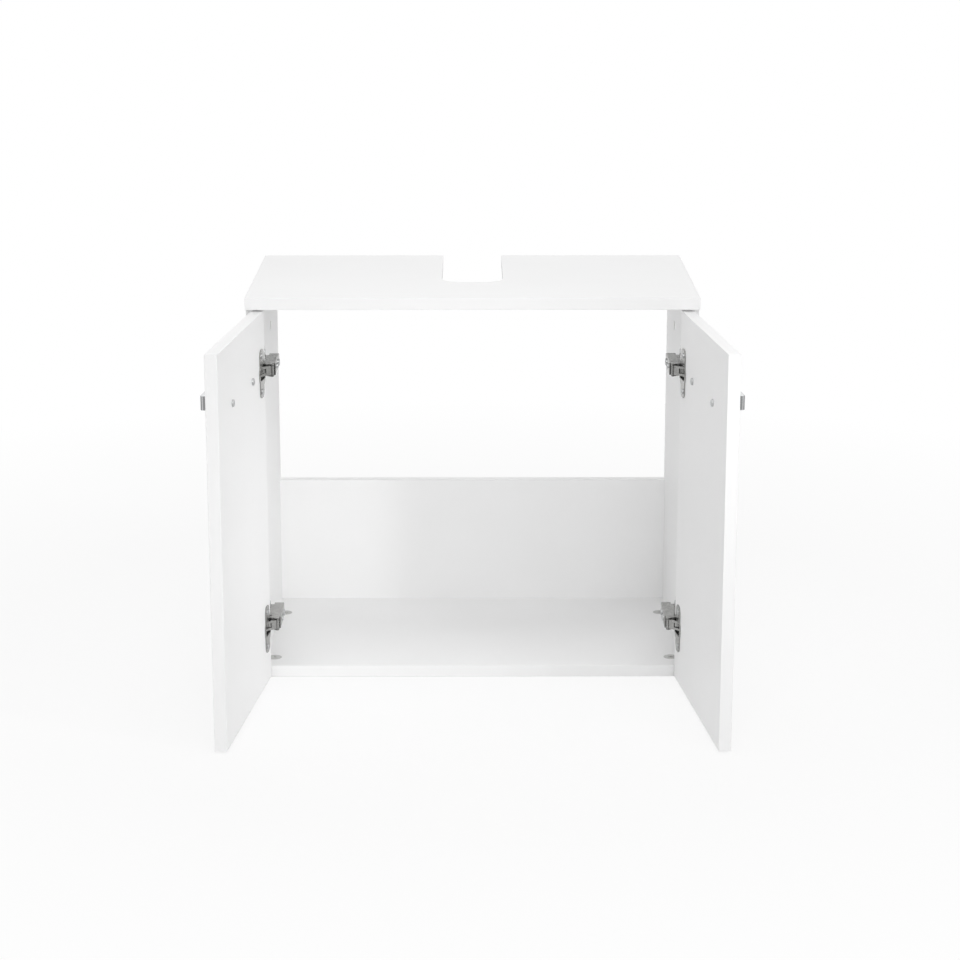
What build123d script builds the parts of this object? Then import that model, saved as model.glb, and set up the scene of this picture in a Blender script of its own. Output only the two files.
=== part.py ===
from build123d import *
import os
from math import cos, radians, sin, sqrt

# A base cabinet that stands under a wash basin, in millimetres, with both doors open.
# The origin is at the middle of the carcass's underside, on the floor.
# +X points to the right, +Y to the rear and +Z up, so the doors are on the -Y side.
# The hinge and door pieces are drawn for the right-hand door and mirrored for the left.

os.makedirs("parts", exist_ok=True)

# ---------------------------------------------------------------- carcass sizes
cabinet_width = 600.0
cabinet_height = 530.0
body_depth = 332.0
board = 16.0  # thickness of every carcass board
board_round = 0.8  # rounding of the boards' visible edges
back_panel_height = 182.0
cutout_width = 84.0  # siphon cut-out in the top, open to the rear
cutout_depth = 228.0
cutout_corner = 30.0

# ---------------------------------------------------------------- door sizes
door_board = 16.0
door_gap = 2.0  # between a closed door and the carcass
door_top_gap = 3.0
door_bottom_gap = 2.0
door_side_reveal = 1.5  # side panel left uncovered by a closed door
door_middle_gap = 3.0
open_angle = 96.4  # of both doors, from closed
open_inset = 24.0  # open door's inner face at its hinge end, from the cabinet's outer side
open_standoff = 3.3  # hinge end of the open door, in front of the carcass

# ---------------------------------------------------------------- hinge sizes
upper_hinge_drop = 80.0  # upper hinge, below the door's top edge
lower_hinge_rise = 76.0  # lower hinge, above the door's bottom edge
cup_radius = 17.5
cup_wall = 1.2
cup_depth = 12.0
cup_floor = 1.0
cup_mouth_play = 0.9  # above and below the arm in the cup's mouth
cup_edge_width = 4.0  # board left between the cup and the door's edge
flange_thickness = 1.5
flange_rim = 1.5  # rim round the cup's mouth
wing_height = 65.0
wing_width = 24.0
wing_offset = 3.5  # wings' middle, past the cup's middle
wing_corner = 9.0
cup_drill_height = 48.0  # from one screw to the other
cup_screw_offset = 6.0  # screws' line, past the cup's middle
cup_screw_radius = 1.75
cup_screw_length = 13.0
cup_screw_head_radius = 3.6
cup_screw_head = 1.6
pin_radius = 1.1
eye_wall = 1.1  # metal round a pin
pin_stub = 0.4  # pin's length past the arm
cup_pin_bite = 0.5  # pin's length in the cup's wall
outer_pin_setback = 9.0  # outer link's cup pin, from the door's hinge edge
outer_pin_depth = 3.0  # the same pin, below the door's inner face
outer_link_length = 13.5
outer_link_strip = 1.8
outer_link_bend = 2.0
outer_link_bow = [(-3.3, 0.5), (-2.1, -6.8), (1.0, -8.0)]  # its bends, from the open door's corner
outer_link_half = 3.0  # half the outer link's height
inner_link_reach = 18.0  # inner link's arm pin, from the side panel
inner_link_lead = 7.0  # the same pin, in front of the carcass
inner_end_setback = 15.0  # inner link's cup end, from the door's hinge edge
inner_end_depth = 3.5
inner_link_strip = 1.6
inner_link_half = 6.4  # half the inner link's height
inner_link_notch = 10.0  # start of its notch for the outer link, from the arm pin
layer_gap = 0.4  # between the layers of the hinge
arm_sheet = 1.5
arm_stand = 22.0  # arm's outer face, from the side panel
arm_cheek = 13.0  # depth of the arm's channel
arm_front = 0.8  # channel's front end, behind the carcass's front
arm_back = 66.0
arm_round = 1.2
plate_thickness = 4.0
plate_line = 37.0  # plate's screws, behind the carcass's front
plate_drill_height = 32.0  # from one screw to the other
plate_wing_height = 50.0
plate_wing_width = 15.0
plate_corner = 4.0
plate_front = 13.0
plate_back = 63.0
plate_foot_height = 18.0
rib_play = 0.2  # between the plate's rib and the arm's cheeks
rib_step_stand = 11.0
rib_step_length = 17.0
plate_screw_radius = 2.5
plate_screw_length = 15.0
plate_screw_head_radius = 4.2
plate_screw_head = 1.6
side_screw_line = 22.0  # side adjusting screw, behind the carcass's front
side_screw_radius = 2.5
side_screw_head_radius = 3.6
fixing_screw_line = 47.0
fixing_screw_radius = 2.5
fixing_screw_head_radius = 4.8
fixing_screw_bite = 8.0
fixing_slot_length = 10.0
arm_screw_head = 2.0

# ---------------------------------------------------------------- handle sizes
handle_drop = 78.5  # handle's middle, below the door's top edge
handle_drill_length = 128.0  # from one screw to the other
handle_height = 19.0
handle_projection = 24.5
handle_bar = 5.0
handle_leg = 10.0
handle_outer_round = 4.0
handle_inner_round = 2.0
handle_edge_round = 0.7
handle_screw_radius = 2.0
handle_screw_head_radius = 4.75
handle_screw_head = 2.4
handle_screw_bite = 12.0
handle_hole_radius = 2.5

# ---------------------------------------------------------------- connecting hardware
hole_play = 0.05  # radial play of a pin, dowel or screw in its hole
housing_radius = 10.0
housing_depth = 12.5
housing_inset = 9.5  # housing's middle, from the board's end
housing_joint_gap = 0.1
housing_cross_length = 8.0
housing_cross_width = 2.0
housing_cross_depth = 1.5
bolt_radius = 2.5
bolt_head_radius = 3.6
bolt_head_length = 3.0
bolt_bite = 11.0  # bolt's length in the joined board
connector_front = 37.0  # front connectors, behind the carcass's front
connector_rear = 88.0  # rear connectors, in front of the carcass's rear
dowel_radius = 4.0
dowel_length = 30.0
dowel_bite = 10.0  # dowel's length in the board's face
dowel_chamfer = 1.0
dowel_offset = 32.0  # from the nearest connector
back_dowel_offset = 60.0
cap_drop = 62.0  # cover caps' middle, below the side panels' upper ends
cap_from_rear = 131.0
cap_radius = 6.2
cap_rim = 1.0
cap_plug_radius = 4.0
cap_plug_length = 7.0
recess_length = 4.4  # cross recess in the screws' heads
recess_width = 0.9
recess_depth = 0.9

# ---------------------------------------------------------------- places worked out from the sizes
half_width = cabinet_width / 2
side_inner = half_width - board
side_middle = half_width - board / 2
front_y = -body_depth / 2
rear_y = body_depth / 2
top_underside = cabinet_height - board
top_front_y = front_y - door_gap - door_board
door_width = half_width - door_side_reveal - door_middle_gap / 2
door_bottom = door_bottom_gap
door_top = top_underside - door_top_gap
door_middle_z = (door_bottom + door_top) / 2
cap_z = top_underside - cap_drop
hinge_heights = {"upper": door_top - upper_hinge_drop, "lower": door_bottom + lower_hinge_rise}
handle_z = door_top - handle_drop
lean = radians(open_angle - 90)
open_corner_x = half_width - open_inset
open_corner_y = front_y - open_standoff
cup_middle = cup_edge_width + cup_radius
cavity_radius = cup_radius - cup_wall
cavity_depth = cup_depth - cup_floor
cup_screw_line = cup_middle + cup_screw_offset
cup_pin_half = sqrt(cavity_radius**2 - (cup_middle - outer_pin_setback) ** 2) + cup_pin_bite
eye_radius = pin_radius + eye_wall
notch_half = outer_link_half + layer_gap
arm_half = inner_link_half + layer_gap + arm_sheet
arm_face_x = side_inner - arm_stand
cup_mouth_height = 2 * (arm_half + cup_mouth_play)
rib_half = arm_half - arm_sheet - rib_play
rib_stand = arm_stand - arm_sheet
connector_ys = [front_y + connector_front, rear_y - connector_rear]
dowel_ys = [connector_ys[0] + dowel_offset, connector_ys[1] - dowel_offset]
back_joint_y = rear_y - board / 2
back_housing_z = board + back_panel_height / 2
back_dowel_zs = [back_housing_z - back_dowel_offset, back_housing_z + back_dowel_offset]

# The right side panel's inner face. Its x runs to the rear and its y up, and it faces outwards.
side_face = Plane(origin=(side_inner, 0, 0), x_dir=(0, 1, 0), z_dir=(1, 0, 0))
door_normal = Axis((open_corner_x, open_corner_y, 0), (cos(lean), sin(lean), 0))


def door_plan(height):
    """Level plane. Its x runs along the open door from the hinge edge, its y into the door."""
    corner = (open_corner_x, open_corner_y, height)
    return Plane(origin=corner, x_dir=(sin(lean), -cos(lean), 0), z_dir=(0, 0, 1))


def door_place(setback, depth):
    """Point at a distance from the open door's hinge edge and a depth below its inner face."""
    return door_plan(0).from_local_coords(Vector(setback, depth, 0))


def door_face(depth):
    """Plane along the open door, facing outwards. Its x is the height above the floor and
    its y the distance from the hinge edge."""
    return Plane(origin=door_place(0, depth), x_dir=(0, 0, 1), z_dir=door_normal.direction)


def link_pivot(setback, depth, length):
    """The arm's point from which a link of this length reaches a pin of the door, both
    when the door is closed and when it is open."""
    closed = Vector(half_width - door_side_reveal - setback, front_y - door_gap - depth, 0)
    travel = door_place(setback, depth) - closed
    offset = sqrt(length**2 - travel.length**2 / 4)
    return closed + travel / 2 + Vector(travel.Y, -travel.X, 0).normalized() * offset


outer_arm_pin = link_pivot(outer_pin_setback, outer_pin_depth, outer_link_length)
outer_cup_pin = door_place(outer_pin_setback, outer_pin_depth)
inner_arm_pin = Vector(side_inner - inner_link_reach, front_y - inner_link_lead, 0)
inner_cup_end = door_place(inner_end_setback, inner_end_depth)


def level(point):
    """A point's place in a level sketch."""
    return (point.X, point.Y)


def save(builder, name):
    """Labels a finished piece and writes it."""
    builder.part.label = name
    export_step(builder.part, f"parts/{name}.step")


def save_pair(builder, name):
    """Writes the right-hand piece, and its mirror image as the left-hand one."""
    save(builder, f"right_{name}")
    with BuildPart() as left_piece:
        add(mirror(builder.part, about=Plane.YZ, mode=Mode.PRIVATE))
    save(left_piece, f"left_{name}")


# ---------------------------------------------------------------- carcass boards
with BuildPart() as top_panel:
    with BuildSketch(Plane.XY.offset(top_underside)):
        with Locations((0, (top_front_y + rear_y) / 2)):
            Rectangle(cabinet_width, rear_y - top_front_y)
    extrude(amount=board)
    fillet(top_panel.faces().filter_by(Axis.Z).edges(), board_round)
    with BuildSketch(Plane.XY.offset(top_underside)):
        # This rounded rectangle runs past the rear edge, so only its front corners are left.
        with Locations((0, rear_y)):
            RectangleRounded(cutout_width, 2 * cutout_depth, cutout_corner)
    extrude(amount=board, mode=Mode.SUBTRACT)
    with BuildSketch(Plane.XY.offset(top_underside)):
        with Locations([(x, y) for x in (-side_middle, side_middle) for y in connector_ys]):
            Circle(bolt_radius + hole_play)
    extrude(amount=bolt_bite + hole_play, mode=Mode.SUBTRACT)
    with BuildSketch(Plane.XY.offset(top_underside)):
        with Locations([(x, y) for x in (-side_middle, side_middle) for y in dowel_ys]):
            Circle(dowel_radius + hole_play)
    extrude(amount=dowel_bite + hole_play, mode=Mode.SUBTRACT)
save(top_panel, "top_panel")

with BuildPart() as side_panel:
    with BuildSketch(side_face):
        with Locations((0, top_underside / 2)):
            Rectangle(body_depth, top_underside)
    extrude(amount=board)
    fillet(side_panel.edges().filter_by(Axis.Z).group_by(Axis.Y)[0], board_round)
    # Seats of the top's connectors and dowels, in the upper end.
    with BuildSketch(side_face):
        with Locations([(y, top_underside - housing_inset) for y in connector_ys]):
            Circle(housing_radius + hole_play)
    extrude(amount=housing_depth + hole_play, mode=Mode.SUBTRACT)
    with BuildSketch(Plane.XY.offset(top_underside)):
        with Locations([(side_middle, y) for y in dowel_ys]):
            Circle(dowel_radius + hole_play)
    extrude(amount=-(dowel_length - dowel_bite + hole_play), mode=Mode.SUBTRACT)
    # Holes for the bolts and dowels of the bottom and back panels.
    with BuildSketch(side_face):
        with Locations([(y, board / 2) for y in connector_ys] + [(back_joint_y, back_housing_z)]):
            Circle(bolt_radius + hole_play)
    extrude(amount=bolt_bite + hole_play, mode=Mode.SUBTRACT)
    with BuildSketch(side_face):
        with Locations([(y, board / 2) for y in dowel_ys] + [(back_joint_y, z) for z in back_dowel_zs]):
            Circle(dowel_radius + hole_play)
    extrude(amount=dowel_bite + hole_play, mode=Mode.SUBTRACT)
    # Holes for the hinge plates' screws and for the cover cap.
    with BuildSketch(side_face):
        with Locations([(front_y + plate_line, z) for z in hinge_heights.values()]):
            with GridLocations(0, plate_drill_height, 1, 2):
                Circle(plate_screw_radius + hole_play)
    extrude(amount=plate_screw_length - plate_thickness + hole_play, mode=Mode.SUBTRACT)
    with BuildSketch(side_face):
        with Locations((rear_y - cap_from_rear, cap_z)):
            Circle(cap_plug_radius + hole_play)
    extrude(amount=cap_plug_length + hole_play, mode=Mode.SUBTRACT)
save_pair(side_panel, "side_panel")

with BuildPart() as bottom_panel:
    with BuildSketch(Plane.XY):
        Rectangle(2 * side_inner, body_depth)
    extrude(amount=board)
    fillet(bottom_panel.edges().filter_by(Axis.X).group_by(Axis.Y)[0], board_round)
    with BuildSketch(Plane.XY.offset(board)):
        with GridLocations(2 * (side_inner - housing_inset), 0, 2, 1):
            with Locations([(0, y) for y in connector_ys]):
                Circle(housing_radius + hole_play)
    extrude(amount=-(housing_depth + hole_play), mode=Mode.SUBTRACT)
    for side in (-1, 1):
        with BuildSketch(Plane(origin=(side * side_inner, 0, 0), x_dir=(0, 1, 0), z_dir=(1, 0, 0))):
            with Locations([(y, board / 2) for y in dowel_ys]):
                Circle(dowel_radius + hole_play)
        extrude(amount=-side * (dowel_length - dowel_bite + hole_play), mode=Mode.SUBTRACT)
save(bottom_panel, "bottom_panel")

with BuildPart() as back_panel:
    with BuildSketch(Plane.XY.offset(board)):
        with Locations((0, back_joint_y)):
            Rectangle(2 * side_inner, board)
    extrude(amount=back_panel_height)
    fillet(back_panel.edges().filter_by(Axis.X).group_by(Axis.Z)[-1], board_round)
    with BuildSketch(Plane(origin=(0, rear_y, 0), x_dir=(1, 0, 0), z_dir=(0, -1, 0))):
        with GridLocations(2 * (side_inner - housing_inset), 0, 2, 1):
            with Locations((0, back_housing_z)):
                Circle(housing_radius + hole_play)
    extrude(amount=housing_depth + hole_play, mode=Mode.SUBTRACT)
    for side in (-1, 1):
        with BuildSketch(Plane(origin=(side * side_inner, 0, 0), x_dir=(0, 1, 0), z_dir=(1, 0, 0))):
            with Locations([(back_joint_y, z) for z in back_dowel_zs]):
                Circle(dowel_radius + hole_play)
        extrude(amount=-side * (dowel_length - dowel_bite + hole_play), mode=Mode.SUBTRACT)
save(back_panel, "back_panel")


# ---------------------------------------------------------------- connectors and dowels
def connector_housing(seat):
    """Round housing let into a board. The seat's origin is on the board's end, at the
    housed face. Its x runs into the board and it faces out of the housed face."""
    with BuildPart() as housing:
        with BuildSketch(seat):
            with Locations((housing_inset, 0)):
                Circle(housing_radius)
            # It is cut off flat at the board's end.
            with Locations((housing_joint_gap - housing_radius, 0)):
                Rectangle(2 * housing_radius, 2 * housing_radius, mode=Mode.SUBTRACT)
        extrude(amount=-housing_depth)
        with BuildSketch(seat):
            with Locations((housing_inset, 0)):
                Rectangle(housing_cross_length, housing_cross_width)
                Rectangle(housing_cross_width, housing_cross_length)
        extrude(amount=-housing_cross_depth, mode=Mode.SUBTRACT)
        with BuildSketch(bolt_plane(seat)):
            Circle(bolt_head_radius + hole_play)
        extrude(amount=housing_inset + bolt_head_length, mode=Mode.SUBTRACT)
    return housing.part


def bolt_plane(seat):
    """Plane on the board's end, in the middle of its thickness, facing into the board."""
    return Plane(origin=seat.offset(-board / 2).origin, x_dir=seat.y_dir, z_dir=seat.x_dir)


def connector_bolt(seat):
    """Bolt in the joined board, with its head in the housing."""
    with BuildPart() as bolt:
        with BuildSketch(bolt_plane(seat).offset(-bolt_bite)):
            Circle(bolt_radius)
        extrude(amount=bolt_bite + housing_inset)
        with BuildSketch(bolt_plane(seat).offset(housing_inset)):
            Circle(bolt_head_radius)
        extrude(amount=bolt_head_length)
    return bolt.part


def dowel(end, into):
    """Fluteless dowel from its end point along a direction."""
    with BuildPart() as rod:
        with BuildSketch(Plane(origin=end, z_dir=into)):
            Circle(dowel_radius)
        extrude(amount=dowel_length)
        chamfer(rod.edges().filter_by(GeomType.CIRCLE), dowel_chamfer)
    return rod.part


def save_both_sides(pieces, name):
    """Writes the right-hand side's pieces and their mirror images as one group."""
    with BuildPart() as group:
        for piece in pieces:
            add(piece)
        mirror(about=Plane.YZ)
    save(group, name)


connector_seats = {
    "bottom": [
        Plane(origin=(side_inner, y, board), x_dir=(-1, 0, 0), z_dir=(0, 0, 1))
        for y in connector_ys
    ],
    "top": [
        Plane(origin=(side_inner, y, top_underside), x_dir=(0, 0, -1), z_dir=(-1, 0, 0))
        for y in connector_ys
    ],
    "back": [Plane(origin=(side_inner, rear_y, back_housing_z), x_dir=(-1, 0, 0), z_dir=(0, 1, 0))],
}
for joint, seats in connector_seats.items():
    save_both_sides([connector_housing(seat) for seat in seats], f"{joint}_connector_housings")
    save_both_sides([connector_bolt(seat) for seat in seats], f"{joint}_connector_bolts")

dowel_end_x = side_inner + dowel_bite
save_both_sides([dowel((dowel_end_x, y, board / 2), (-1, 0, 0)) for y in dowel_ys], "bottom_dowels")
save_both_sides(
    [dowel((side_middle, y, top_underside + dowel_bite), (0, 0, -1)) for y in dowel_ys], "top_dowels"
)
save_both_sides([dowel((dowel_end_x, back_joint_y, z), (-1, 0, 0)) for z in back_dowel_zs], "back_dowels")

with BuildPart() as cover_cap:
    with BuildSketch(side_face):
        with Locations((rear_y - cap_from_rear, cap_z)):
            Circle(cap_radius)
    extrude(amount=-cap_rim)
    fillet(cover_cap.faces().sort_by(Axis.X)[0].edges(), cap_rim / 2)
    with BuildSketch(side_face):
        with Locations((rear_y - cap_from_rear, cap_z)):
            Circle(cap_plug_radius)
    extrude(amount=cap_plug_length)
save_both_sides([cover_cap.part], "cover_caps")


# ---------------------------------------------------------------- screws and pins
def screw(seat, radius, length, head_radius, head_height):
    """Screw with a cross recess. The seat lies under its head and faces out of it."""
    with BuildPart() as fastener:
        with BuildSketch(seat):
            Circle(head_radius)
        extrude(amount=head_height)
        crown = fastener.faces().sort_by(Axis(seat.origin, seat.z_dir))[-1]
        fillet(crown.edges(), head_height / 2)
        with BuildSketch(seat):
            Circle(radius)
        extrude(amount=-length)
        with BuildSketch(seat.offset(head_height)):
            Rectangle(recess_length, recess_width)
            Rectangle(recess_width, recess_length)
        extrude(amount=-recess_depth, mode=Mode.SUBTRACT)
    return fastener.part


def upright_pin(place, height, half_length):
    """Pin on a hinge's pivot line."""
    with BuildPart() as pin:
        with BuildSketch(Plane.XY.offset(height - half_length)):
            with Locations(level(place)):
                Circle(pin_radius)
        extrude(amount=2 * half_length)
    return pin.part


def arm_seat(line, height, stand):
    """Plane on the hinge, at a distance behind the carcass's front and from the side panel,
    facing the cabinet's middle."""
    return Plane(origin=(side_inner - stand, front_y + line, height), x_dir=(0, 1, 0), z_dir=(-1, 0, 0))


plate_screw_places = [
    arm_seat(plate_line, height + step * plate_drill_height / 2, plate_thickness)
    for height in hinge_heights.values()
    for step in (-1, 1)
]
save_both_sides(
    [
        screw(seat, plate_screw_radius, plate_screw_length, plate_screw_head_radius, plate_screw_head)
        for seat in plate_screw_places
    ],
    "plate_screws",
)
save_both_sides(
    [
        screw(
            arm_seat(side_screw_line, height, arm_stand),
            side_screw_radius,
            arm_stand - rib_step_stand,
            side_screw_head_radius,
            arm_screw_head,
        )
        for height in hinge_heights.values()
    ],
    "side_adjusting_screws",
)
save_both_sides(
    [
        screw(
            arm_seat(fixing_screw_line, height, arm_stand),
            fixing_screw_radius,
            arm_sheet + fixing_screw_bite,
            fixing_screw_head_radius,
            arm_screw_head,
        )
        for height in hinge_heights.values()
    ],
    "arm_fixing_screws",
)
save_both_sides(
    [
        upright_pin(place, height, arm_half + pin_stub)
        for place in (outer_arm_pin, inner_arm_pin)
        for height in hinge_heights.values()
    ],
    "arm_pins",
)

# ---------------------------------------------------------------- hinges
for position, hinge_z in hinge_heights.items():
    with BuildPart() as mounting_plate:
        with BuildSketch(side_face):
            with Locations((front_y + plate_line, hinge_z)):
                RectangleRounded(plate_wing_width, plate_wing_height, plate_corner)
            with Locations((front_y + (plate_front + plate_back) / 2, hinge_z)):
                RectangleRounded(plate_back - plate_front, plate_foot_height, plate_corner)
        extrude(amount=-plate_thickness)
        with BuildSketch(side_face):
            with Locations((front_y + (plate_front + plate_back) / 2, hinge_z)):
                Rectangle(plate_back - plate_front, 2 * rib_half)
        extrude(amount=-rib_step_stand)
        with BuildSketch(side_face):
            with Locations((front_y + plate_back, hinge_z)):
                tall_length = plate_back - plate_front - rib_step_length
                Rectangle(tall_length, 2 * rib_half, align=(Align.MAX, Align.CENTER))
        extrude(amount=-rib_stand)
        with BuildSketch(side_face.offset(-plate_thickness)):
            with Locations((front_y + plate_line, hinge_z)):
                with GridLocations(0, plate_drill_height, 1, 2):
                    Circle(plate_screw_radius + hole_play)
        extrude(amount=plate_thickness, mode=Mode.SUBTRACT)
        with BuildSketch(side_face.offset(-rib_stand)):
            with Locations((front_y + fixing_screw_line, hinge_z)):
                Circle(fixing_screw_radius + hole_play)
        extrude(amount=fixing_screw_bite + hole_play, mode=Mode.SUBTRACT)
    save_pair(mounting_plate, f"{position}_mounting_plate")

    with BuildPart() as hinge_arm:
        with BuildSketch(Plane.XY.offset(hinge_z - arm_half)):
            channel_end = (inner_arm_pin.X, front_y + arm_front)
            with Locations(level(outer_arm_pin), level(inner_arm_pin), channel_end):
                Circle(eye_radius)
            make_hull()
            with Locations((arm_face_x, front_y + arm_front)):
                Rectangle(arm_cheek, arm_back - arm_front, align=Align.MIN)
        extrude(amount=2 * arm_half)
        bends = hinge_arm.edges().filter_by(Axis.Y).group_by(Axis.X)[0]
        fillet(bends, arm_round)
        # The channel is hollow between its two cheeks, from the side panel's side.
        with BuildSketch(Plane.XY.offset(hinge_z - arm_half + arm_sheet)):
            with Locations((arm_face_x + arm_sheet, front_y + arm_back)):
                Rectangle(arm_stand, 2 * arm_back, align=(Align.MIN, Align.MAX))
            with Locations((arm_face_x, front_y + arm_front)):
                Rectangle(arm_stand, arm_stand, align=(Align.MIN, Align.MAX))
        extrude(amount=2 * (arm_half - arm_sheet), mode=Mode.SUBTRACT)
        with BuildSketch(Plane.XY.offset(hinge_z - arm_half)):
            with Locations(level(outer_arm_pin), level(inner_arm_pin)):
                Circle(pin_radius + hole_play)
        extrude(amount=2 * arm_half, mode=Mode.SUBTRACT)
        with BuildSketch(side_face.offset(-arm_stand)):
            with Locations((front_y + side_screw_line, hinge_z)):
                Circle(side_screw_radius + hole_play)
            with Locations((front_y + fixing_screw_line, hinge_z)):
                SlotOverall(fixing_slot_length, 2 * (fixing_screw_radius + hole_play))
        extrude(amount=arm_sheet, mode=Mode.SUBTRACT)
    save_pair(hinge_arm, f"{position}_hinge_arm")

    # The outer link is a bowed strip, with a barrel that fills the arm's channel.
    bow_points = [(open_corner_x + x, open_corner_y + y) for x, y in outer_link_bow]
    with BuildPart() as outer_link:
        with BuildSketch(Plane.XY.offset(hinge_z - outer_link_half)):
            with BuildLine():
                FilletPolyline(
                    level(outer_arm_pin), *bow_points, level(outer_cup_pin), radius=outer_link_bend
                )
            trace(line_width=outer_link_strip)
            with Locations(level(outer_arm_pin), level(outer_cup_pin)):
                Circle(eye_radius)
        extrude(amount=2 * outer_link_half)
        with BuildSketch(Plane.XY.offset(hinge_z - inner_link_half)):
            with Locations(level(outer_arm_pin)):
                Circle(eye_radius)
        extrude(amount=2 * inner_link_half)
        with BuildSketch(Plane.XY.offset(hinge_z - inner_link_half)):
            with Locations(level(outer_arm_pin), level(outer_cup_pin)):
                Circle(pin_radius + hole_play)
        extrude(amount=2 * inner_link_half, mode=Mode.SUBTRACT)
    save_pair(outer_link, f"{position}_outer_link")

    with BuildPart() as inner_link:
        with BuildSketch(Plane.XY.offset(hinge_z - inner_link_half)):
            with BuildLine():
                Line(level(inner_arm_pin), level(inner_cup_end))
            trace(line_width=inner_link_strip)
            with Locations(level(inner_arm_pin), level(inner_cup_end)):
                Circle(eye_radius)
        extrude(amount=2 * inner_link_half)
        # The outer link passes through a notch in the plate's cup end.
        with BuildSketch(Plane.XY.offset(hinge_z - notch_half)):
            with Locations(level(inner_arm_pin)):
                Circle(arm_back)
                Circle(inner_link_notch, mode=Mode.SUBTRACT)
        extrude(amount=2 * notch_half, mode=Mode.SUBTRACT)
        with BuildSketch(Plane.XY.offset(hinge_z - inner_link_half)):
            with Locations(level(inner_arm_pin), level(inner_cup_end)):
                Circle(pin_radius + hole_play)
        extrude(amount=2 * inner_link_half, mode=Mode.SUBTRACT)
    save_pair(inner_link, f"{position}_inner_link")

    with BuildPart() as hinge_cup:
        with BuildSketch(door_face(0)):
            with Locations((hinge_z, cup_middle)):
                Circle(cup_radius)
        extrude(amount=cup_depth)
        with BuildSketch(door_face(0)):
            with Locations((hinge_z, cup_middle)):
                Circle(cup_radius + flange_rim)
            with Locations((hinge_z, cup_middle + wing_offset)):
                RectangleRounded(wing_height, wing_width, wing_corner)
        extrude(amount=-flange_thickness)
        with BuildSketch(door_face(0)):
            with Locations((hinge_z, cup_middle)):
                Circle(cavity_radius)
        extrude(amount=cavity_depth, mode=Mode.SUBTRACT)
        # The flange covers the cup but for a slot that lets the arm in.
        with BuildSketch(door_face(-flange_thickness)):
            with Locations((hinge_z, cup_middle)):
                Circle(cavity_radius)
                Rectangle(cup_mouth_height, 2 * cup_radius, mode=Mode.INTERSECT)
        extrude(amount=flange_thickness, mode=Mode.SUBTRACT)
        with BuildSketch(door_face(-flange_thickness)):
            with Locations((hinge_z, cup_screw_line)):
                with GridLocations(cup_drill_height, 0, 2, 1):
                    Circle(cup_screw_radius + hole_play)
        extrude(amount=flange_thickness, mode=Mode.SUBTRACT)
        with BuildSketch(door_plan(hinge_z - cup_pin_half - hole_play)):
            with Locations((outer_pin_setback, outer_pin_depth)):
                Circle(pin_radius + hole_play)
        extrude(amount=2 * (cup_pin_half + hole_play), mode=Mode.SUBTRACT)
    save_pair(hinge_cup, f"{position}_hinge_cup")

# ---------------------------------------------------------------- doors
with BuildPart() as door:
    with BuildSketch(door_face(0)):
        with Locations((door_middle_z, door_width / 2)):
            Rectangle(door_top - door_bottom, door_width)
    extrude(amount=door_board)
    broad_faces = door.faces().sort_by(SortBy.AREA)[-2:]
    fillet(broad_faces.edges(), board_round)
    with BuildSketch(door_face(0)):
        with Locations([(hinge_z, cup_middle) for hinge_z in hinge_heights.values()]):
            Circle(cup_radius + hole_play)
    extrude(amount=cup_depth + hole_play, mode=Mode.SUBTRACT)
    with BuildSketch(door_face(0)):
        with Locations([(hinge_z, cup_screw_line) for hinge_z in hinge_heights.values()]):
            with GridLocations(cup_drill_height, 0, 2, 1):
                Circle(cup_screw_radius + hole_play)
    extrude(amount=cup_screw_length - flange_thickness + hole_play, mode=Mode.SUBTRACT)
    with BuildSketch(door_face(0)):
        with Locations((handle_z, door_width / 2)):
            with GridLocations(0, handle_drill_length, 1, 2):
                Circle(handle_hole_radius)
    extrude(amount=door_board, mode=Mode.SUBTRACT)
save_pair(door, "door")


def inward_door_seat(depth, height, setback):
    """Plane on the open door at a depth below its inner face, facing inwards."""
    place = door_place(setback, depth) + Vector(0, 0, height)
    return Plane(origin=place, x_dir=(0, 0, 1), z_dir=-door_normal.direction)


with BuildPart() as cup_screws:
    for hinge_z in hinge_heights.values():
        for step in (-1, 1):
            height = hinge_z + step * cup_drill_height / 2
            seat = inward_door_seat(-flange_thickness, height, cup_screw_line)
            add(screw(seat, cup_screw_radius, cup_screw_length, cup_screw_head_radius, cup_screw_head))
save_pair(cup_screws, "cup_screws")

with BuildPart() as cup_pins:
    for hinge_z in hinge_heights.values():
        add(upright_pin(outer_cup_pin, hinge_z, cup_pin_half))
save_pair(cup_pins, "cup_pins")

with BuildPart() as inner_link_pins:
    stub_half = (inner_link_half + pin_stub - notch_half) / 2
    for hinge_z in hinge_heights.values():
        add(upright_pin(inner_cup_end, hinge_z - notch_half - stub_half, stub_half))
        add(upright_pin(inner_cup_end, hinge_z + notch_half + stub_half, stub_half))
save_pair(inner_link_pins, "inner_link_pins")

# ---------------------------------------------------------------- handles
with BuildPart() as handle:
    with BuildSketch(door_plan(handle_z - handle_height / 2)) as bow:
        with Locations((door_width / 2, door_board + handle_projection / 2)):
            Rectangle(handle_drill_length + handle_leg, handle_projection)
        fillet(bow.vertices().group_by(Axis.Y)[-1], handle_outer_round)
        with Locations((door_width / 2, door_board + (handle_projection - handle_bar) / 2)):
            gap_depth = handle_projection - handle_bar
            Rectangle(handle_drill_length - handle_leg, gap_depth, mode=Mode.SUBTRACT)
        fillet(bow.vertices().group_by(Axis.Y)[1], handle_inner_round)
    extrude(amount=handle_height)
    rims = handle.faces().filter_by(Axis.Z).edges()
    fillet(rims.group_by(door_normal)[1:], handle_edge_round)
    with BuildSketch(door_face(door_board)):
        with Locations((handle_z, door_width / 2)):
            with GridLocations(0, handle_drill_length, 1, 2):
                Circle(handle_screw_radius + hole_play)
    extrude(amount=handle_screw_bite + hole_play, mode=Mode.SUBTRACT)
save_pair(handle, "handle")

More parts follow.
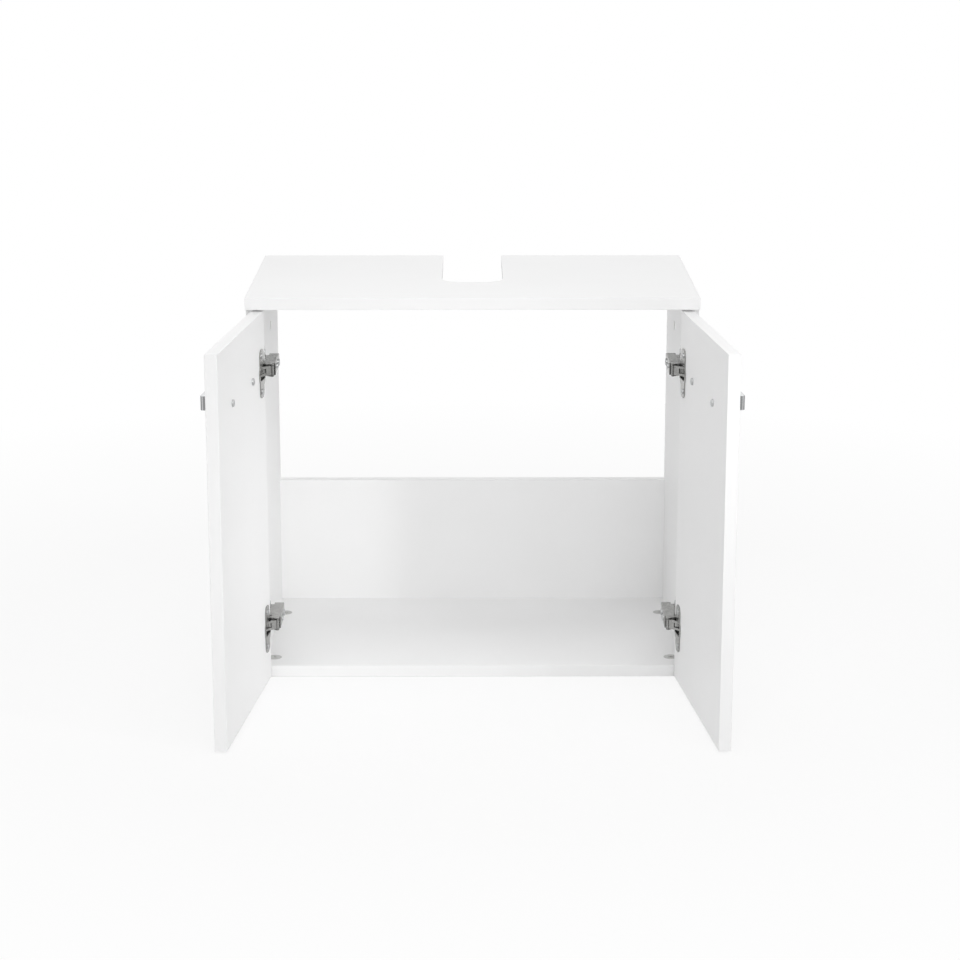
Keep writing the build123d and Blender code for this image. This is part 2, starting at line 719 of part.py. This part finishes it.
with BuildPart() as handle_screws:
    for step in (-1, 1):
        seat = inward_door_seat(0, handle_z, door_width / 2 + step * handle_drill_length / 2)
        screw_length = door_board + handle_screw_bite
        add(screw(seat, handle_screw_radius, screw_length, handle_screw_head_radius, handle_screw_head))
save_pair(handle_screws, "handle_screws")
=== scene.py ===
# %% [markdown]
# # A base cabinet for a wash basin
# This lesson dresses a cabinet of white boards, with both doors open, for a studio picture.
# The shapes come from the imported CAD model. Here they get their finishes, the lamps and
# the camera. Every length below is in metres, unless its name ends in mm or MM.

# %% Load the model
import bpy
import bmesh
import math
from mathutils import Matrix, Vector


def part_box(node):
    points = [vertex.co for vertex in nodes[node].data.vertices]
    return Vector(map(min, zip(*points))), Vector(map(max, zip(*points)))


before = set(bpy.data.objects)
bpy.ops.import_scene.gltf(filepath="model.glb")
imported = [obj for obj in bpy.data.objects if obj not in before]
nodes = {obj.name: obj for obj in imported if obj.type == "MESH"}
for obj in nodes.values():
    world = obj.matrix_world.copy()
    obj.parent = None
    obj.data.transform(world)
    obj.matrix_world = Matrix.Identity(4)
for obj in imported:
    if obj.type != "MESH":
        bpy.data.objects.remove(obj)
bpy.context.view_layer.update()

# %% [markdown]
# ## Colour
# Colours are written as sRGB hex values, as a colour card gives them. Blender works with
# linear light, so one function turns them.

# %% Colour
MM = 0.001


def linear(hex_code):
    """sRGB hex value to linear colour."""
    parts = [int(hex_code[i:i + 2], 16) / 255 for i in (1, 3, 5)]
    return [c / 12.92 if c <= 0.04045 else ((c + 0.055) / 1.055) ** 2.4 for c in parts] + [1.0]


print("#808080 is", round(linear("#808080")[0], 3), "in linear light")

# %% [markdown]
# ## Nodes
# A material is a graph of nodes. It could be put together by hand in the shader editor. One
# function that adds a node, sets it and links it keeps that short in a script.


# %% Nodes
def add(material, kind, settings=None, **inputs):
    """Adds a node. An input is a value, or another node's output to link from. The inputs
    of maths nodes have no names of their own, so they are given as i0, i1 and i2."""
    node = material.node_tree.nodes.new(kind)
    for name, value in (settings or {}).items():
        setattr(node, name, value)
    for name, value in inputs.items():
        key = int(name[1:]) if name[0] == "i" and name[1:].isdigit() else name.replace("_", " ")
        socket = node.inputs[key]
        if isinstance(value, bpy.types.NodeSocket):
            material.node_tree.links.new(value, socket)
        else:
            socket.default_value = value
    return node


# %% [markdown]
# ## Maths and noise
# The finishes are patterns made of noise and a little maths, with no picture files. They
# use the object's own coordinates, so a pattern stays on a door that turns. Each noise
# takes its grain in millimetres.

# %% Maths and noise
NOISE_SPAN = (0.3, 0.7)  # the part of the noise's range that most patterns use
NOISE_ROUGHNESS = 0.55


def maths(material, operation, *values):
    """Adds a maths node and returns its result."""
    inputs = {f"i{place}": value for place, value in enumerate(values)}
    return add(material, "ShaderNodeMath", {"operation": operation}, **inputs).outputs[0]


def remap(material, value, low, high, to_low, to_high):
    """Maps one range of values to another, and holds it at the ends."""
    return add(material, "ShaderNodeMapRange", None, Value=value, From_Min=low, From_Max=high,
               To_Min=to_low, To_Max=to_high).outputs["Result"]


def noise(material, place, grain_mm, detail=2.0):
    """Noise whose grain has a real size."""
    return add(material, "ShaderNodeTexNoise", None, Vector=place, Scale=1 / (grain_mm * MM),
               Detail=detail, Roughness=NOISE_ROUGHNESS).outputs["Fac"]


def mix_colour(material, factor, first, second):
    """Mixes two colours."""
    return add(material, "ShaderNodeMix", {"data_type": "RGBA"}, i0=factor, i6=first,
               i7=second).outputs[2]


# %% [markdown]
# ## Materials
# Every material starts empty, and ends when its shader is linked to the output.


# %% Materials
def new_material(name):
    """An empty node material and its output node."""
    material = bpy.data.materials.new(name)
    material.use_nodes = True
    material.node_tree.nodes.clear()
    return material, add(material, "ShaderNodeOutputMaterial")


def close(material, output, shader):
    """Links the surface shader to the output."""
    material.node_tree.links.new(shader.outputs[0], output.inputs["Surface"])
    print("material", material.name, "with", len(material.node_tree.nodes), "nodes")
    return material


# %% [markdown]
# ## Edging
# The narrow faces of the boards are covered with a strip of plastic edging, a millimetre
# thick. From the broad face its joint is a hairline one millimetre in. A groove in the mesh
# could show it, but drawing it from the distance to the nearest edged end leaves the CAD
# mesh alone. The strip is a shade darker than the foil.

# %% Edging
EDGING_MM = 1.0
EDGING_TONE = 0.02
HAIRLINE_MM = 0.09
HAIRLINE_TONE = 0.15


def edge_distance(material, place, ends):
    """Distance inward from the nearest edged end. An end has an axis, a place on it and the
    direction that points out of the board."""
    axes = add(material, "ShaderNodeSeparateXYZ", None, Vector=place).outputs
    nearest = None
    for axis, end, outward in ends:
        inward = maths(material, "MULTIPLY_ADD", axes[axis], -outward, outward * end)
        nearest = inward if nearest is None else maths(material, "MINIMUM", nearest, inward)
    return nearest


def edging(material, place, ends):
    """The hairline, and how much it and the strip outside it darken the board."""
    off_line = maths(material, "SUBTRACT", edge_distance(material, place, ends), EDGING_MM * MM)
    line = remap(material, maths(material, "ABSOLUTE", off_line), HAIRLINE_MM * MM / 2,
                 HAIRLINE_MM * MM, 1.0, 0.0)
    strip = maths(material, "LESS_THAN", off_line, 0.0)
    joint = maths(material, "MULTIPLY", line, HAIRLINE_TONE)
    return line, maths(material, "MULTIPLY_ADD", strip, EDGING_TONE, joint)


# %% [markdown]
# ## Bare particle board
# The rear ends of the boards stand at the wall. The photograph doesn't show them, and here
# they are taken to be left without edging, so they show wood chips in glue. Voronoi cells
# look like pressed chips, each with its own tone, and noise lays darker glue over them.

# %% Bare particle board
CHIP_MM = 1.6
GLUE_MM = 0.7
BARE_ROUGHNESS = 0.8
BARE_DEPTH_MM = 0.05


def chipboard(material, place):
    """Colour of bare particle board: chips in their glue."""
    chips = add(material, "ShaderNodeTexVoronoi", None, Vector=place, Scale=1 / (CHIP_MM * MM))
    tone = add(material, "ShaderNodeSeparateColor", None, Color=chips.outputs["Color"]).outputs[0]
    chip = mix_colour(material, tone, linear("#A98357"), linear("#D6B88C"))
    glue = remap(material, noise(material, place, GLUE_MM), 0.35, 0.65, 0.0, 0.6)
    return mix_colour(material, glue, chip, linear("#8C6A45"))


# %% [markdown]
# ## White foil
# The boards are particle board, covered with a white decor foil that was pressed between
# embossed plates. The emboss is a fine orange peel of about half a millimetre, and it gives
# the satin sheen its soft edge. A picture could hold it too, but noise works at any zoom.
# Wide, faint clouds keep a large face from being one flat colour.

# %% White foil
PEEL_MM = 0.6
PEEL_DEPTH_MM = 0.05
PEEL_SWING = 0.04  # how far the peel moves the roughness
CLOUD_MM = 160
CLOUD_TONE = 0.985
HAIRLINE_DEPTH = -0.8  # against the depth of the peel
FOIL_IOR = 1.5
FOIL_SPECULAR = 0.25


def white_board(name, colour, roughness, ends, turn=0.0, bare_rear=None):
    """Foil with its edging. Turn is the board's angle in degrees, and bare_rear the place
    of a rear end that has no edging."""
    material, output = new_material(name)
    place = add(material, "ShaderNodeTexCoord").outputs["Object"]
    if turn:
        place = add(material, "ShaderNodeMapping", {"vector_type": "TEXTURE"}, Vector=place,
                    Rotation=(0, 0, math.radians(turn))).outputs["Vector"]
    peel = noise(material, place, PEEL_MM)
    clouds = remap(material, noise(material, place, CLOUD_MM, 3.0), *NOISE_SPAN, CLOUD_TONE, 1.0)
    line, darker = edging(material, place, ends)
    shade = maths(material, "MULTIPLY", clouds, maths(material, "SUBTRACT", 1.0, darker))
    white = add(material, "ShaderNodeVectorMath", {"operation": "SCALE"}, i0=linear(colour)[:3],
                Scale=shade).outputs["Vector"]
    rough = remap(material, peel, *NOISE_SPAN, roughness - PEEL_SWING, roughness + PEEL_SWING)
    if bare_rear is not None:
        depth = add(material, "ShaderNodeSeparateXYZ", None, Vector=place).outputs["Y"]
        bare = maths(material, "GREATER_THAN", depth, bare_rear - BARE_DEPTH_MM * MM)
        white = mix_colour(material, bare, white, chipboard(material, place))
        dull = maths(material, "MULTIPLY", bare, BARE_ROUGHNESS)
        rough = maths(material, "MAXIMUM", rough, dull)
    height = maths(material, "MULTIPLY_ADD", line, HAIRLINE_DEPTH, peel)
    bump = add(material, "ShaderNodeBump", None, Height=height, Strength=0.12,
               Distance=PEEL_DEPTH_MM * MM)
    shader = add(material, "ShaderNodeBsdfPrincipled", None, Base_Color=white, Roughness=rough,
                 Normal=bump.outputs["Normal"], IOR=FOIL_IOR, Specular_IOR_Level=FOIL_SPECULAR)
    return close(material, output, shader)


# %% [markdown]
# ## Carcass boards
# One foil could serve the whole carcass, but the boards have their edged ends in different
# places. So each gets its own, with the ends from the board's own box. The two side panels
# have theirs in the same place and share one.

# %% Carcass boards
WHITE = "#F7F7F7"
CARCASS_ROUGHNESS = 0.5


def ends_of(name, *wanted):
    """Ends of a board's box, by names such as -y for the front and +z for the top."""
    low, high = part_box(name)
    found = []
    for end in wanted:
        axis = "xyz".index(end[1])
        outward = 1.0 if end[0] == "+" else -1.0
        found.append((axis, (high if outward > 0 else low)[axis], outward))
    return found


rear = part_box("top_panel")[1][1]
board = {
    "top_panel": white_board("foil_top", WHITE, CARCASS_ROUGHNESS,
                             ends_of("top_panel", "-x", "+x", "-y"), bare_rear=rear),
    "back_panel": white_board("foil_back", WHITE, CARCASS_ROUGHNESS,
                              ends_of("back_panel", "+z")),
    "bottom_panel": white_board("foil_bottom", WHITE, CARCASS_ROUGHNESS,
                                ends_of("bottom_panel", "-y"), bare_rear=rear),
}
side_foil = white_board("foil_sides", WHITE, CARCASS_ROUGHNESS,
                        ends_of("left_side_panel", "-y"), bare_rear=rear)
board["left_side_panel"] = board["right_side_panel"] = side_foil
print("bare rear ends at y =", rear)

# %% [markdown]
# ## Doors
# The doors stand open at 96.4 degrees, so they are turned by 6.4 degrees against the
# cabinet's axes. Their foil is drawn in the door's own turned frame, because there the
# hinge edge is one straight line. It is set a little smoother than the carcass's foil.

# %% Doors
OPEN_TURN = 6.4
HINGE_CORNER = (0.276, -0.1693)
DOOR_WIDTH = 0.297
DOOR_ROUGHNESS = 0.46


def door_foil(name, node, side):
    """Foil in the turned frame of a door. Side is 1 for the right-hand door."""
    angle = math.radians(side * OPEN_TURN)
    hinge_end = -side * HINGE_CORNER[0] * math.sin(angle) + HINGE_CORNER[1] * math.cos(angle)
    ends = [(1, hinge_end, 1.0), (1, hinge_end - DOOR_WIDTH, -1.0)] + ends_of(node, "-z", "+z")
    return white_board(name, WHITE, DOOR_ROUGHNESS, ends, turn=side * OPEN_TURN)


board["right_door"] = door_foil("foil_right_door", "right_door", 1)
board["left_door"] = door_foil("foil_left_door", "left_door", -1)
print(len(board), "boards have their foil")

# %% [markdown]
# ## Steel
# Hinge arms, cups and links are stamped from steel strip, tumbled and nickel plated. The
# tumbling leaves a fine grain and a few duller patches, and the nickel is a little warmer
# than chrome. The screws are zinc plated, and the pins are bright drawn wire. The real
# grain is finer than the one here, which is drawn 0.4 to 0.8 mm wide. The metal keeps its
# own index of refraction.

# %% Steel
PATCH_MM = 9.0
PATCH_COLOUR = "#8C8C8B"
PATCH_DULL = 0.08
GRAIN_SWING = 0.05  # how far the grain moves the roughness


def steel(name, colour, roughness, grain_mm, depth_mm):
    """Steel with a grain of this size and depth, and with duller patches."""
    material, output = new_material(name)
    place = add(material, "ShaderNodeTexCoord").outputs["Object"]
    grain = noise(material, place, grain_mm, 4.0)
    wear = noise(material, place, PATCH_MM, 3.0)
    dull = remap(material, wear, 0.45, 0.7, 0.0, PATCH_DULL)
    fine = remap(material, grain, *NOISE_SPAN, roughness - GRAIN_SWING, roughness + GRAIN_SWING)
    rough = maths(material, "ADD", dull, fine)
    tint = mix_colour(material, remap(material, wear, 0.35, 0.75, 0.0, 0.35), linear(colour),
                      linear(PATCH_COLOUR))
    bump = add(material, "ShaderNodeBump", None, Height=grain, Strength=0.25,
               Distance=depth_mm * MM)
    shader = add(material, "ShaderNodeBsdfPrincipled", None, Base_Color=tint, Metallic=1.0,
                 Roughness=rough, Normal=bump.outputs["Normal"])
    return close(material, output, shader)


nickel_plate = steel("nickel_plated_steel", "#9E9E9C", 0.24, 0.8, 0.02)
zinc_plate = steel("zinc_plated_steel", "#C4C5C6", 0.3, 0.6, 0.02)
bright_pin = steel("drawn_bright_steel", "#A9A9A9", 0.2, 0.4, 0.01)

# %% [markdown]
# ## Chrome-plated zinc
# The handles are cast in zinc, polished and chrome plated. A polished surface isn't quite
# flat, so a long and very shallow wave bends what it mirrors. A faint haze makes it less
# sharp in places.

# %% Chrome
WAVE_MM = 14.0
WAVE_DEPTH_MM = 0.12
HAZE_MM = 3.0
CLEAR, HAZY = 0.04, 0.09


def chrome(name):
    """Bright plating on a polished casting."""
    material, output = new_material(name)
    place = add(material, "ShaderNodeTexCoord").outputs["Object"]
    wave = noise(material, place, WAVE_MM, 1.0)
    haze = noise(material, place, HAZE_MM, 3.0)
    bump = add(material, "ShaderNodeBump", None, Height=wave, Strength=0.3,
               Distance=WAVE_DEPTH_MM * MM)
    shader = add(material, "ShaderNodeBsdfPrincipled", None, Base_Color=linear("#D9DADB"),
                 Metallic=1.0, Roughness=remap(material, haze, *NOISE_SPAN, CLEAR, HAZY),
                 Normal=bump.outputs["Normal"])
    return close(material, output, shader)


chrome_plate = chrome("chrome_plated_zinc")

# %% [markdown]
# ## Moulded plastic
# The connector housings are grey moulded plastic, the cover caps white moulded plastic.
# Their moulds were spark eroded, which leaves a fine even grain and takes the shine off.
# The real grain is finer than the one here, which is drawn a third of a millimetre wide.
# Faint flow marks darken the colour in places.

# %% Moulded plastic
SPARK_MM = 0.35
SPARK_DEPTH_MM = 0.03
SPARK_SWING = 0.05  # how far the grain moves the roughness
FLOW_MM = 6.0
FLOW_COLOUR = "#505050"
PLASTIC_IOR = 1.49


def moulded_plastic(name, colour, roughness):
    """Plastic from a spark-eroded mould."""
    material, output = new_material(name)
    place = add(material, "ShaderNodeTexCoord").outputs["Object"]
    spark = noise(material, place, SPARK_MM)
    flow = remap(material, noise(material, place, FLOW_MM), 0.35, 0.65, 0.0, 0.08)
    tone = mix_colour(material, flow, linear(colour), linear(FLOW_COLOUR))
    bump = add(material, "ShaderNodeBump", None, Height=spark, Strength=0.25,
               Distance=SPARK_DEPTH_MM * MM)
    rough = remap(material, spark, *NOISE_SPAN, roughness - SPARK_SWING, roughness + SPARK_SWING)
    shader = add(material, "ShaderNodeBsdfPrincipled", None, Base_Color=tone, IOR=PLASTIC_IOR,
                 Roughness=rough, Normal=bump.outputs["Normal"])
    return close(material, output, shader)


grey_housing = moulded_plastic("moulded_grey_plastic", "#C4C4C2", 0.4)
white_cap = moulded_plastic("moulded_white_plastic", "#ECECEA", 0.35)

# %% [markdown]
# ## Beech
# The dowels are turned beech rods, pale, with short dark flecks in the wood. They sit
# inside the boards and aren't seen, so noise is enough for their grain.

# %% Beech
GRAIN_MM = 1.2
FLECK_MM = 0.5
FLECK_DEPTH_MM = 0.05
WOOD_ROUGHNESS = 0.65


def beech_wood(name):
    """Turned beech rod."""
    material, output = new_material(name)
    place = add(material, "ShaderNodeTexCoord").outputs["Object"]
    grain = remap(material, noise(material, place, GRAIN_MM, 4.0), *NOISE_SPAN, 0.0, 1.0)
    fleck = noise(material, place, FLECK_MM)
    wood = mix_colour(material, grain, linear("#B98A5C"), linear("#D9B384"))
    wood = mix_colour(material, remap(material, fleck, 0.62, 0.7, 0.0, 0.7), wood,
                      linear("#7E5632"))
    bump = add(material, "ShaderNodeBump", None, Height=fleck, Strength=0.3,
               Distance=FLECK_DEPTH_MM * MM)
    shader = add(material, "ShaderNodeBsdfPrincipled", None, Base_Color=wood,
                 Roughness=WOOD_ROUGHNESS, Normal=bump.outputs["Normal"])
    return close(material, output, shader)


beech = beech_wood("beech_dowel")

# %% [markdown]
# ## Each piece gets its finish
# A carried-over object keeps its mesh, and only its material slot is filled. The hardware
# is matched by the ending of its name, because left and right pieces are alike.

# %% Finishes
finish_of_ending = {
    "_handle": chrome_plate,
    "connector_housings": grey_housing,
    "connector_bolts": zinc_plate,
    "dowels": beech,
    "cover_caps": white_cap,
    "hinge_arm": nickel_plate,
    "mounting_plate": nickel_plate,
    "hinge_cup": nickel_plate,
    "link": nickel_plate,
    "pins": bright_pin,
    "screws": zinc_plate,
}
for name, node in nodes.items():
    finish = board.get(name)
    if finish is None:
        finish = next(value for key, value in finish_of_ending.items() if name.endswith(key))
    node.data.materials.clear()
    node.data.materials.append(finish)
print("finished", len(nodes), "nodes")

# %% [markdown]
# ## Floor
# The picture is a cut-out on white. Near the cabinet the floor is partly white paper, so
# that it keeps a pale shadow. Away from it the camera sees plain white, and so does metal.
# More light would make the paper white too, but it would also brighten the cabinet.

# %% Floor
FLOOR_HALF = 15
FLOOR_PLACE = (0, 0, -0.0005)
SHADOW_REACH = (0.7, 1.6)
NEAR_WHITENESS = 0.8

floor_material, floor_output = new_material("studio_floor")
paper = add(floor_material, "ShaderNodeBsdfDiffuse", None, Color=linear("#F4F4F4"))
glow = add(floor_material, "ShaderNodeEmission", None, Color=(1, 1, 1, 1), Strength=1.0)
path = add(floor_material, "ShaderNodeLightPath").outputs
seen = maths(floor_material, "MAXIMUM", path["Is Camera Ray"], path["Is Glossy Ray"])
spot = add(floor_material, "ShaderNodeTexCoord").outputs["Object"]
away = add(floor_material, "ShaderNodeVectorMath", {"operation": "LENGTH"}, i0=spot)
whiteness = remap(floor_material, away.outputs["Value"], *SHADOW_REACH,
                  NEAR_WHITENESS, 1.0)
floor_mix = add(floor_material, "ShaderNodeMixShader", None,
                i0=maths(floor_material, "MULTIPLY", seen, whiteness),
                i1=paper.outputs[0], i2=glow.outputs[0])
close(floor_material, floor_output, floor_mix)

floor_mesh = bpy.data.meshes.new("studio_floor")
sheet = bmesh.new()
bmesh.ops.create_grid(sheet, x_segments=4, y_segments=4, size=FLOOR_HALF)
sheet.to_mesh(floor_mesh)
sheet.free()
floor_mesh.materials.append(floor_material)
floor = bpy.data.objects.new("studio_floor", floor_mesh)
floor.location = FLOOR_PLACE
bpy.context.scene.collection.objects.link(floor)

# %% [markdown]
# ## World
# The camera, metal and glass see a white room. The cabinet itself is lit by a weaker, even
# sky, which leaves its corners more of their shade than a full white one.

# %% World
SKY = 0.6

world = bpy.data.worlds.new("studio_world")
bpy.context.scene.world = world
world.use_nodes = True
world.node_tree.nodes.clear()
sky_output = add(world, "ShaderNodeOutputWorld")
ambient = add(world, "ShaderNodeBackground", None, Color=(1, 1, 1, 1), Strength=SKY)
white = add(world, "ShaderNodeBackground", None, Color=(1, 1, 1, 1), Strength=1.0)
ray = add(world, "ShaderNodeLightPath").outputs
shown = maths(world, "MAXIMUM", ray["Is Camera Ray"], ray["Is Glossy Ray"])
shown = maths(world, "MAXIMUM", shown, ray["Is Transmission Ray"])
sky = add(world, "ShaderNodeMixShader", None, i0=shown, i1=ambient.outputs[0],
          i2=white.outputs[0])
world.node_tree.links.new(sky.outputs[0], sky_output.inputs["Surface"])
print("sky of strength", SKY)

# %% [markdown]
# ## Painted reflection bands
# Chrome in a white room looks like white plastic. A photographer stands dark cards near
# it, out of the picture, so that it mirrors a dark band. With plain dark cards the handles
# looked black on closed doors and from behind. So these cards carry a painted reflection:
# a glow with soft dark and pale upright stripes, which lights nothing, and a handle mirrors
# light and dark bands.

# %% Painted reflection bands
STRIPE = 0.8
DARK_BAND_GLOW, PALE_BAND_GLOW = "#3C3C3C", "#E0E0E0"


def striped_reflection_glow(name, stripe):
    """Glow for painted reflections: a pale stripe in its middle, and one more at every stripe's
    width from it.
    """
    material, output = new_material(name)
    place = add(material, "ShaderNodeTexCoord").outputs["Object"]
    across = add(material, "ShaderNodeSeparateXYZ", None, Vector=place).outputs["X"]
    wave = maths(material, "COSINE", maths(material, "MULTIPLY", across, 2 * math.pi / stripe))
    tone = mix_colour(material, remap(material, wave, -0.2, 1.0, 0.0, 1.0),
                      linear(DARK_BAND_GLOW), linear(PALE_BAND_GLOW))
    # Emission that only mirror rays see: a painted reflection, which lights nothing.
    band_glow = add(material, "ShaderNodeEmission", None, Color=tone, Strength=1.0)
    return close(material, output, band_glow)


reflection_band_glow = striped_reflection_glow("striped_reflection_glow", STRIPE)

# %% [markdown]
# ## Cards
# One card stands in front of the cabinet and one on either side. They glow with the painted
# reflection stripes and are seen by mirror rays alone: they neither shade the cabinet nor show in
# the picture.


# %% Cards
def reflection_card(name, place, width, height, turn):
    """Upright card that glows with the painted reflection stripes. Its turn is in degrees, and at
    0 it faces the front.
    """
    mesh = bpy.data.meshes.new(name)
    sheet = bmesh.new()
    bmesh.ops.create_grid(sheet, x_segments=2, y_segments=2, size=0.5)
    bmesh.ops.scale(sheet, vec=(width, height, 1), verts=sheet.verts)
    sheet.to_mesh(mesh)
    sheet.free()
    mesh.materials.append(reflection_band_glow)
    card = bpy.data.objects.new(name, mesh)
    card.location = place
    card.rotation_euler = (math.radians(90), 0, math.radians(turn))
    card.visible_camera = False
    card.visible_diffuse = False
    card.visible_transmission = False
    card.visible_volume_scatter = False
    card.visible_shadow = False
    bpy.context.scene.collection.objects.link(card)
    print(name, "at", place)


reflection_card("front_card", (0, -1.3, 0.3), 2.0, 0.44, 0)
reflection_card("left_card", (-1.7, -0.3, 0.3), 1.6, 0.5, 90)
reflection_card("right_card", (1.7, -0.3, 0.3), 1.6, 0.5, 90)

# %% [markdown]
# ## Lamps
# The left door is the brighter one in the photograph, and so is the left part of the back
# panel, where the right door gives no shade. So the key lamp stands to the right in front.
# A narrow spot lamp below it reaches the inside. Another one stands further round to the
# right, for the left door: from there it meets the doors at a slant when they are closed,
# so it adds less to them. Large lamps above the camera, above the cabinet and behind it
# fill the rest.

# %% Lamps
LAMP_DISTANCE = 4.0
CABINET_MIDDLE = (0, 0, 0.25)
SOFT_LAMP_SIDE = 2.0
SPOT_CONE = 9.0
SPOT_RADIUS = 0.2


def put_lamp(name, kind, aim, azimuth, elevation, power):
    """Lamp that looks at its aim. Azimuth runs from the front to the right, in degrees."""
    a, e = math.radians(azimuth), math.radians(elevation)
    way = Vector((math.sin(a) * math.cos(e), -math.cos(a) * math.cos(e), math.sin(e)))
    data = bpy.data.lights.new(name, kind)
    data.energy = power
    lamp = bpy.data.objects.new(name, data)
    lamp.location = Vector(aim) + LAMP_DISTANCE * way
    lamp.rotation_euler = way.to_track_quat("Z", "Y").to_euler()
    bpy.context.scene.collection.objects.link(lamp)
    print(name, "gives", power, "W")
    return data


def soft_lamp(name, azimuth, elevation, power):
    """Large square lamp."""
    data = put_lamp(name, "AREA", CABINET_MIDDLE, azimuth, elevation, power)
    data.shape = "SQUARE"
    data.size = SOFT_LAMP_SIDE


def spot_lamp(name, aim, azimuth, elevation, power):
    """Narrow cone with a soft rim."""
    data = put_lamp(name, "SPOT", aim, azimuth, elevation, power)
    data.spot_size = math.radians(SPOT_CONE)
    data.spot_blend = 1.0
    data.shadow_soft_size = SPOT_RADIUS


soft_lamp("front_lamp", 0, 30, 33)
soft_lamp("top_lamp", 0, 80, 18)
soft_lamp("rear_lamp", 180, 40, 15)
soft_lamp("key_lamp", 38, 28, 12)
spot_lamp("inside_spot", (-0.27, 0.03, 0.16), 36, 16, 138)
spot_lamp("door_spot", (-0.3, -0.31, 0.25), 62, 30, 120)

# %% [markdown]
# ## Camera
# The camera stands three and a half metres away, at about twice the cabinet's height, with
# a long lens, so the sides close in gently. It was fitted to the corners of the boards. In
# the photograph the uprights are parallel, as a level camera with a shifted lens gives
# them. A shift would stay on in every other view and push the cabinet out of it, so this
# camera looks down by a little over fourteen degrees, and the uprights converge slightly.

# %% Camera
SENSOR_MM = 36
LENS_MM = 93.97
CAMERA_PLACE = (-0.0022, -3.4339, 1.1138)
CAMERA_DOWN = 14.337
CAMERA_TURN = -0.212

lens = bpy.data.cameras.new("studio_camera")
lens.sensor_width = SENSOR_MM
lens.lens = LENS_MM
camera = bpy.data.objects.new("studio_camera", lens)
camera.location = CAMERA_PLACE
camera.rotation_euler = (math.radians(90 - CAMERA_DOWN), 0, math.radians(CAMERA_TURN))
bpy.context.scene.collection.objects.link(camera)
bpy.context.scene.camera = camera
bpy.context.scene.view_settings.view_transform = "Standard"
print("camera at", CAMERA_PLACE, "looks down by", CAMERA_DOWN, "degrees")
